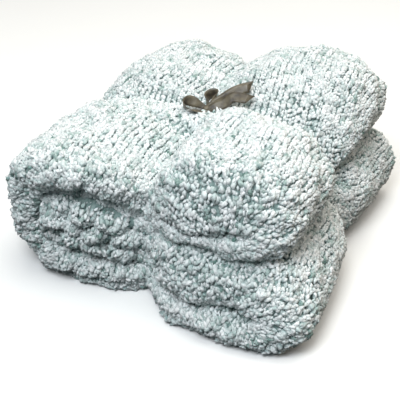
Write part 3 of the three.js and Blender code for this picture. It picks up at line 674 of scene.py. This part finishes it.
def on_fold(rows, middle, side, low):
    """Rows of the front corner, moved out to the fold that they lie on."""
    return [(float(front_fold(TIE_X, y, side*(z - middle), False, low)), float(settled(TIE_X, y, z)), ny, nz)
            for y, z, ny, nz in rows]


reach = PASS_PITCH - PASS_GAP/2
hem = BUNDLE_DEPTH/2 - HEM_IN[0]
slant = math.sqrt(0.5)
loop_across = (corner(FOLD_X, MID_Z - PASS_PITCH, reach, -90, 30, 8)
               + corner(FOLD_X, MID_Z + PASS_PITCH, reach, -30, 90, 8)
               + level(FOLD_X, WRAP_X, HEIGHT, 1.0, 24) + corner(WRAP_X, MID_Z, HEIGHT/2, 90, 270, 20)
               + level(WRAP_X, FOLD_X, 0.0, -1.0, 24))
loop_front = ([(hem, 0.0, slant, -slant), (BUNDLE_DEPTH/2, LAYER/2, 1.0, 0.0),
               (BUNDLE_DEPTH/2, HEIGHT - LAYER/2, 1.0, 0.0), (hem, HEIGHT, slant, slant)]
              + level(hem, FRONT_Y, HEIGHT, 1.0, 36)
              + on_fold(corner(FRONT_Y, HEIGHT - STRIP/2, STRIP/2, 90, 180, 5), HEIGHT - STRIP/2, 1, False)
              + on_fold(corner(FRONT_Y, STRIP/2, STRIP/2, 180, 270, 5), STRIP/2, -1, True)
              + level(FRONT_Y, hem, 0.0, -1.0, 36))

# The pleats of the gathered ribbon: place across its width and height over the crease, and how much the
# pleats' height wanders. The second loop passes a little over the first.
PLEATS = ((-0.5, 0.2), (-0.25, 3.0), (0.0, 0.1), (0.25, 2.9), (0.5, 0.3))
PLEAT_WANDER, PLEAT_TURN, SECOND_OVER = 0.25, 1.7, 0.4
ribbon_points, ribbon_faces, ribbon_uv = [], [], []


def add_ribbon(rings, closed, lengths):
    """Rings of a closed flat section, with a map of place across the ribbon and length along it."""
    base = len(ribbon_points)
    n = len(rings[0])
    for ring, length in zip(rings, lengths):
        ribbon_points.extend(ring)
        ribbon_uv.extend((min(j, n - 1 - j)/(n/2 - 1), length) for j in range(n))
    for i in range(len(rings) if closed else len(rings) - 1):
        a, b = base + i*n, base + ((i + 1) % len(rings))*n
        ribbon_faces.extend((a + j, a + (j + 1) % n, b + (j + 1) % n, b + j) for j in range(n))
    if not closed:
        end = base + (len(rings) - 1)*n
        for i in range(n//2 - 1):
            face = (i, i + 1, n - 2 - i, n - 1 - i)
            ribbon_faces.append(tuple(base + k for k in face[::-1]))
            ribbon_faces.append(tuple(end + k for k in face))


for rows, is_across, over in ((loop_across, True, 0.0), (loop_front, False, SECOND_OVER)):
    rings, lengths, run = [], [], 0.0
    for k, (a, z, na, nz) in enumerate(rows):
        ring = []
        wobble = PLEAT_WANDER*math.sin(PLEAT_TURN*k)
        for sides, thick in ((PLEATS, 0.0), (PLEATS[::-1], RIBBON_THICK)):
            for place, height in sides:
                d = RIBBON_CLEAR + over + height*(1 + wobble) + thick
                side = place*RIBBON_GATHERED
                out_a, out_z = a + na*d, z + nz*d
                spot = (out_a, TIE_Y + side, out_z) if is_across else (TIE_X - side, out_a, out_z)
                ring.append(np.array(tied(*(np.float64(v) for v in spot))) - (*BOX_MIDDLE, 0.0))
        if rings:
            run += float(np.linalg.norm(ring[0] - rings[-1][0]))
        rings.append(ring)
        lengths.append(run/1000)
    add_ribbon(rings, True, lengths)

# The bow as it is pulled by hand, seen from the front: right, toward and up, and the way its width lies,
# which is shorter where the knot draws the ribbon together
BOW_TURN, BOW_CUP, BOW_CUP_TURN = 23.1, 0.6, 0.5
BOW = dict(
    left_loop=((0, 0, 4.5, 0, -0.15, 0.35), (-7, -1, 8, 0, -0.25, 0.55), (-13, -1.2, 11.3, 0, -0.35, 0.85),
               (-20, -0.3, 13.4, 0, -0.15, 0.95), (-25, 3.5, 11, 0, 0.5, 0.82),
               (-20.5, 6.5, 7.5, 0.08, 0.85, 0.48), (-11, 6, 5, 0.05, 0.9, 0.15), (0, 4.5, 3.6, 0, 0.45, 0.1)),
    upright_loop=((2, -1, 10, -0.1, -0.1, 0.5), (-1, -6, 12, -0.15, -0.1, 0.85),
                  (1, -10.5, 14.5, -0.1, -0.1, 1), (6, -13, 16, 0, -0.1, 1), (11, -11, 16, 0.1, -0.1, 1),
                  (11, -6, 14, 0.1, -0.1, 0.9), (5, -1, 10, 0.1, -0.1, 0.5)),
    upper_tail=((0, 0, 5, -0.15, -0.2, 0.45), (9, 0, 9.5, -0.4, -0.35, 0.75), (18, -1, 15, -0.4, -0.4, 0.85),
                (28.5, -3, 21.5, -0.2, -0.5, 0.85), (37, -4.5, 24.5, 0, -0.6, 0.8),
                (43.5, -5, 26, 0, -0.6, 0.8)),
    lower_tail=((0, 2, 4, -0.1, -0.25, 0.4), (10, 4, 9, -0.1, -0.6, 0.7), (20, 6, 14, -0.1, -0.6, 0.8),
                (27.5, 6, 20, 0, -0.7, 0.7), (35, 8, 20.5, 0.2, -0.75, 0.6), (42, 9.5, 19.5, 0.3, -0.8, 0.5)),
)
TAIL_CUT = 8.0
turn = math.radians(BOW_TURN)
bow_axes = np.array([(math.cos(turn), math.sin(turn), 0), (math.sin(turn), -math.cos(turn), 0), (0, 0, 1)])
bow_seat = np.array(tied(np.float64(TIE_X), np.float64(TIE_Y), np.float64(HEIGHT))) - (*BOX_MIDDLE, 0.0)


def spline(rows, steps):
    """Smooth curve through the rows of a table."""
    rows = np.array(rows, dtype=float)
    held = np.concatenate([2*rows[:1] - rows[1:2], rows, 2*rows[-1:] - rows[-2:-1]])
    at = np.linspace(0, len(rows) - 1, (len(rows) - 1)*steps + 1)
    i = np.minimum(at.astype(int), len(rows) - 2)
    t = (at - i)[:, None]
    a, b, c, d = held[i], held[i + 1], held[i + 2], held[i + 3]
    return 0.5*(2*b + (c - a)*t + (2*a - 5*b + 4*c - d)*t**2 + (3*b - a - 3*c + d)*t**3)


for name, table in BOW.items():
    curve = spline(table, 6)
    line, wide = curve[:, :3], curve[:, 3:]
    ahead = np.gradient(line, axis=0)
    ahead /= np.linalg.norm(ahead, axis=1, keepdims=True)
    share = np.minimum(np.linalg.norm(wide, axis=1, keepdims=True), 1.0)
    wide = wide - (wide*ahead).sum(1, keepdims=True)*ahead
    wide *= share/np.linalg.norm(wide, axis=1, keepdims=True)
    face = np.cross(wide, ahead)
    rings, lengths, run = [], [], 0.0
    for k in range(len(line)):
        ring = []
        cup = BOW_CUP*math.sin(BOW_CUP_TURN*k)
        for sides, thick in (((-1, -0.5, 0, 0.5, 1), 0.0), ((1, 0.5, 0, -0.5, -1), RIBBON_THICK)):
            for w in sides:
                cut = TAIL_CUT*(1 + w)/2 if "tail" in name and k == len(line) - 1 else 0.0
                spot = line[k] + wide[k]*w*RIBBON_WIDTH/2 + face[k]*(thick + cup*(1 - w*w)) + ahead[k]*cut
                ring.append(bow_seat + spot @ bow_axes)
        if k:
            run += float(np.linalg.norm(line[k] - line[k - 1]))
        rings.append(ring)
        lengths.append(run/1000)
    add_ribbon(rings, False, lengths)

# The knot is a turn of the same ribbon pulled tight over the crossing: place to the right and radius
KNOT = ((-4.2, 1.6), (-3.2, 2.8), (-1.5, 3.7), (0.3, 4.0), (2, 3.6), (3.4, 2.8), (4.2, 1.7))
KNOT_RIPPLE, KNOT_MIDDLE, KNOT_FLAT = 0.06, 4.4, 0.85
rings = []
for right, radius in KNOT:
    angles = np.arange(16)*math.pi/8
    ripple = 1 + KNOT_RIPPLE*np.sin(5*angles + right)
    toward = radius*ripple*np.cos(angles)
    up = KNOT_MIDDLE + KNOT_FLAT*radius*ripple*np.sin(angles)
    rings.append([bow_seat + np.array((right, t, u)) @ bow_axes for t, u in zip(toward, up)])
add_ribbon(rings, False, [0.002*k for k in range(len(KNOT))])
ribbon_tie = mesh_object("ribbon_tie", ribbon_points, ribbon_faces)
weave_map = ribbon_tie.data.uv_layers.new(name="weave")
for loop, slot in zip(ribbon_tie.data.loops, weave_map.data):
    slot.uv = ribbon_uv[loop.vertex_index]
ribbon_tie.data.shade_smooth()

# Satin weave polyester: long floats across the ribbon shine in a band, with a firm edge on both sides.
# Its floats are drawn 0.8 mm apart, coarser than real ones, so that they show, on blotches of about 8 mm.
SATIN_FLOAT, SATIN_BLOTCH = 0.0008, 8.0
satin, tree = new_material("taupe satin weave")
weave = add_node(tree, "ShaderNodeUVMap", uv_map="weave")
place = add_node(tree, "ShaderNodeSeparateXYZ", {0: weave.outputs["UV"]}).outputs
floats = add_node(tree, "ShaderNodeMath", {0: place[1], 1: 2*math.pi/SATIN_FLOAT}, operation="MULTIPLY")
ridge = add_node(tree, "ShaderNodeMath", {0: floats.outputs[0]}, operation="SINE")
blotch = add_node(tree, "ShaderNodeTexNoise",
                  {"Vector": add_node(tree, "ShaderNodeTexCoord").outputs["Object"],
                   "Scale": 1000/SATIN_BLOTCH, "Detail": 3.0})
tone = add_node(tree, "ShaderNodeValToRGB", {"Fac": blotch.outputs["Fac"]})
tone.color_ramp.elements[0].position = 0.3
tone.color_ramp.elements[0].color = linear("#38322a")
tone.color_ramp.elements[1].position = 0.7
tone.color_ramp.elements[1].color = linear("#6d6553")
bump = add_node(tree, "ShaderNodeBump", {"Height": ridge.outputs[0], "Strength": 0.25, "Distance": 0.0002})
surface = add_node(tree, "ShaderNodeBsdfPrincipled",
                   {"Base Color": tone.outputs["Color"], "Roughness": 0.36, "Normal": bump.outputs["Normal"],
                    "Specular IOR Level": 0.6, "Sheen Weight": 0.3, "Sheen Roughness": 0.3})
add_node(tree, "ShaderNodeOutputMaterial", {"Surface": surface.outputs["BSDF"]})
ribbon_tie.data.materials.append(satin)
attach(ribbon_tie, "root")
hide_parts("ribbon")

# The studio: a plain pale floor of matt paper, a wide soft light overhead, a high fill in front and a weak warm
# light on the right. The camera sees the wrap and the quartered folds, with the turned folds on the right.
# The floor gives no light back to the throw, so that its low parts stay dark.
FLOOR_HALF, PAPER_CLOUD = 4000, 160.0
floor = mesh_object("floor", [(x*FLOOR_HALF, y*FLOOR_HALF, 0) for x, y in ((-1, -1), (1, -1), (1, 1), (-1, 1))],
                    [(0, 1, 2, 3)])
paper, tree = new_material("white studio paper")
grain = add_node(tree, "ShaderNodeTexNoise",
                 {"Vector": add_node(tree, "ShaderNodeTexCoord").outputs["Object"],
                  "Scale": 1000/PAPER_CLOUD, "Detail": 2.0})
tone = add_node(tree, "ShaderNodeValToRGB", {"Fac": grain.outputs["Fac"]})
tone.color_ramp.elements[0].color = linear("#fafafa")
tone.color_ramp.elements[1].color = linear("#fdfdfd")
surface = add_node(tree, "ShaderNodeBsdfPrincipled",
                   {"Base Color": tone.outputs["Color"], "Roughness": 0.9})
add_node(tree, "ShaderNodeOutputMaterial", {"Surface": surface.outputs["BSDF"]})
floor.data.materials.append(paper)
floor.visible_diffuse = False

LAMP_AIM = Vector((0, 0, 0.1))
for name, spot, size, power, tone in (("overhead", (0.35, 0.45, 2.0), 2.6, 46.0, "#fffbf2"),
                                      ("fill", (0.0, -1.33, 1.72), 1.0, 39.0, "#f6fbff"),
                                      ("warm side", (1.7, 0.3, 0.8), 0.6, 3.0, "#ffe6c8")):
    lamp = bpy.data.lights.new(name, "AREA")
    lamp.shape = "SQUARE"
    lamp.size = size
    lamp.energy = power
    lamp.color = linear(tone)[:3]
    light = bpy.data.objects.new(name, lamp)
    light.location = spot
    light.rotation_euler = (LAMP_AIM - Vector(spot)).to_track_quat("-Z", "Y").to_euler()
    bpy.context.scene.collection.objects.link(light)
world = bpy.data.worlds.new("studio air")
world.use_nodes = True
air = world.node_tree.nodes["Background"]
air.inputs["Color"].default_value = linear("#e0f0f2")
air.inputs["Strength"].default_value = 0.06
bpy.context.scene.world = world
bpy.context.scene.view_settings.view_transform = "Standard"

# The camera's focal length is in pixels of a picture 400 pixels wide
FOCAL_PIXELS, PICTURE_PIXELS, SENSOR_WIDTH = 1028.7, 400, 36.0
azimuth, elevation, distance = math.radians(23.139), math.radians(29.791), 1.14787
aim = Vector((-0.00958, 0.01163, 0.03752))
back = Vector((math.sin(azimuth)*math.cos(elevation), -math.cos(azimuth)*math.cos(elevation),
               math.sin(elevation)))
lens = bpy.data.cameras.new("viewing camera")
lens.sensor_width = SENSOR_WIDTH
lens.lens = SENSOR_WIDTH*FOCAL_PIXELS/PICTURE_PIXELS
camera = bpy.data.objects.new("viewing camera", lens)
camera.location = aim + back*distance
camera.rotation_euler = (-back).to_track_quat("-Z", "Y").to_euler()
bpy.context.scene.collection.objects.link(camera)
bpy.context.scene.camera = camera
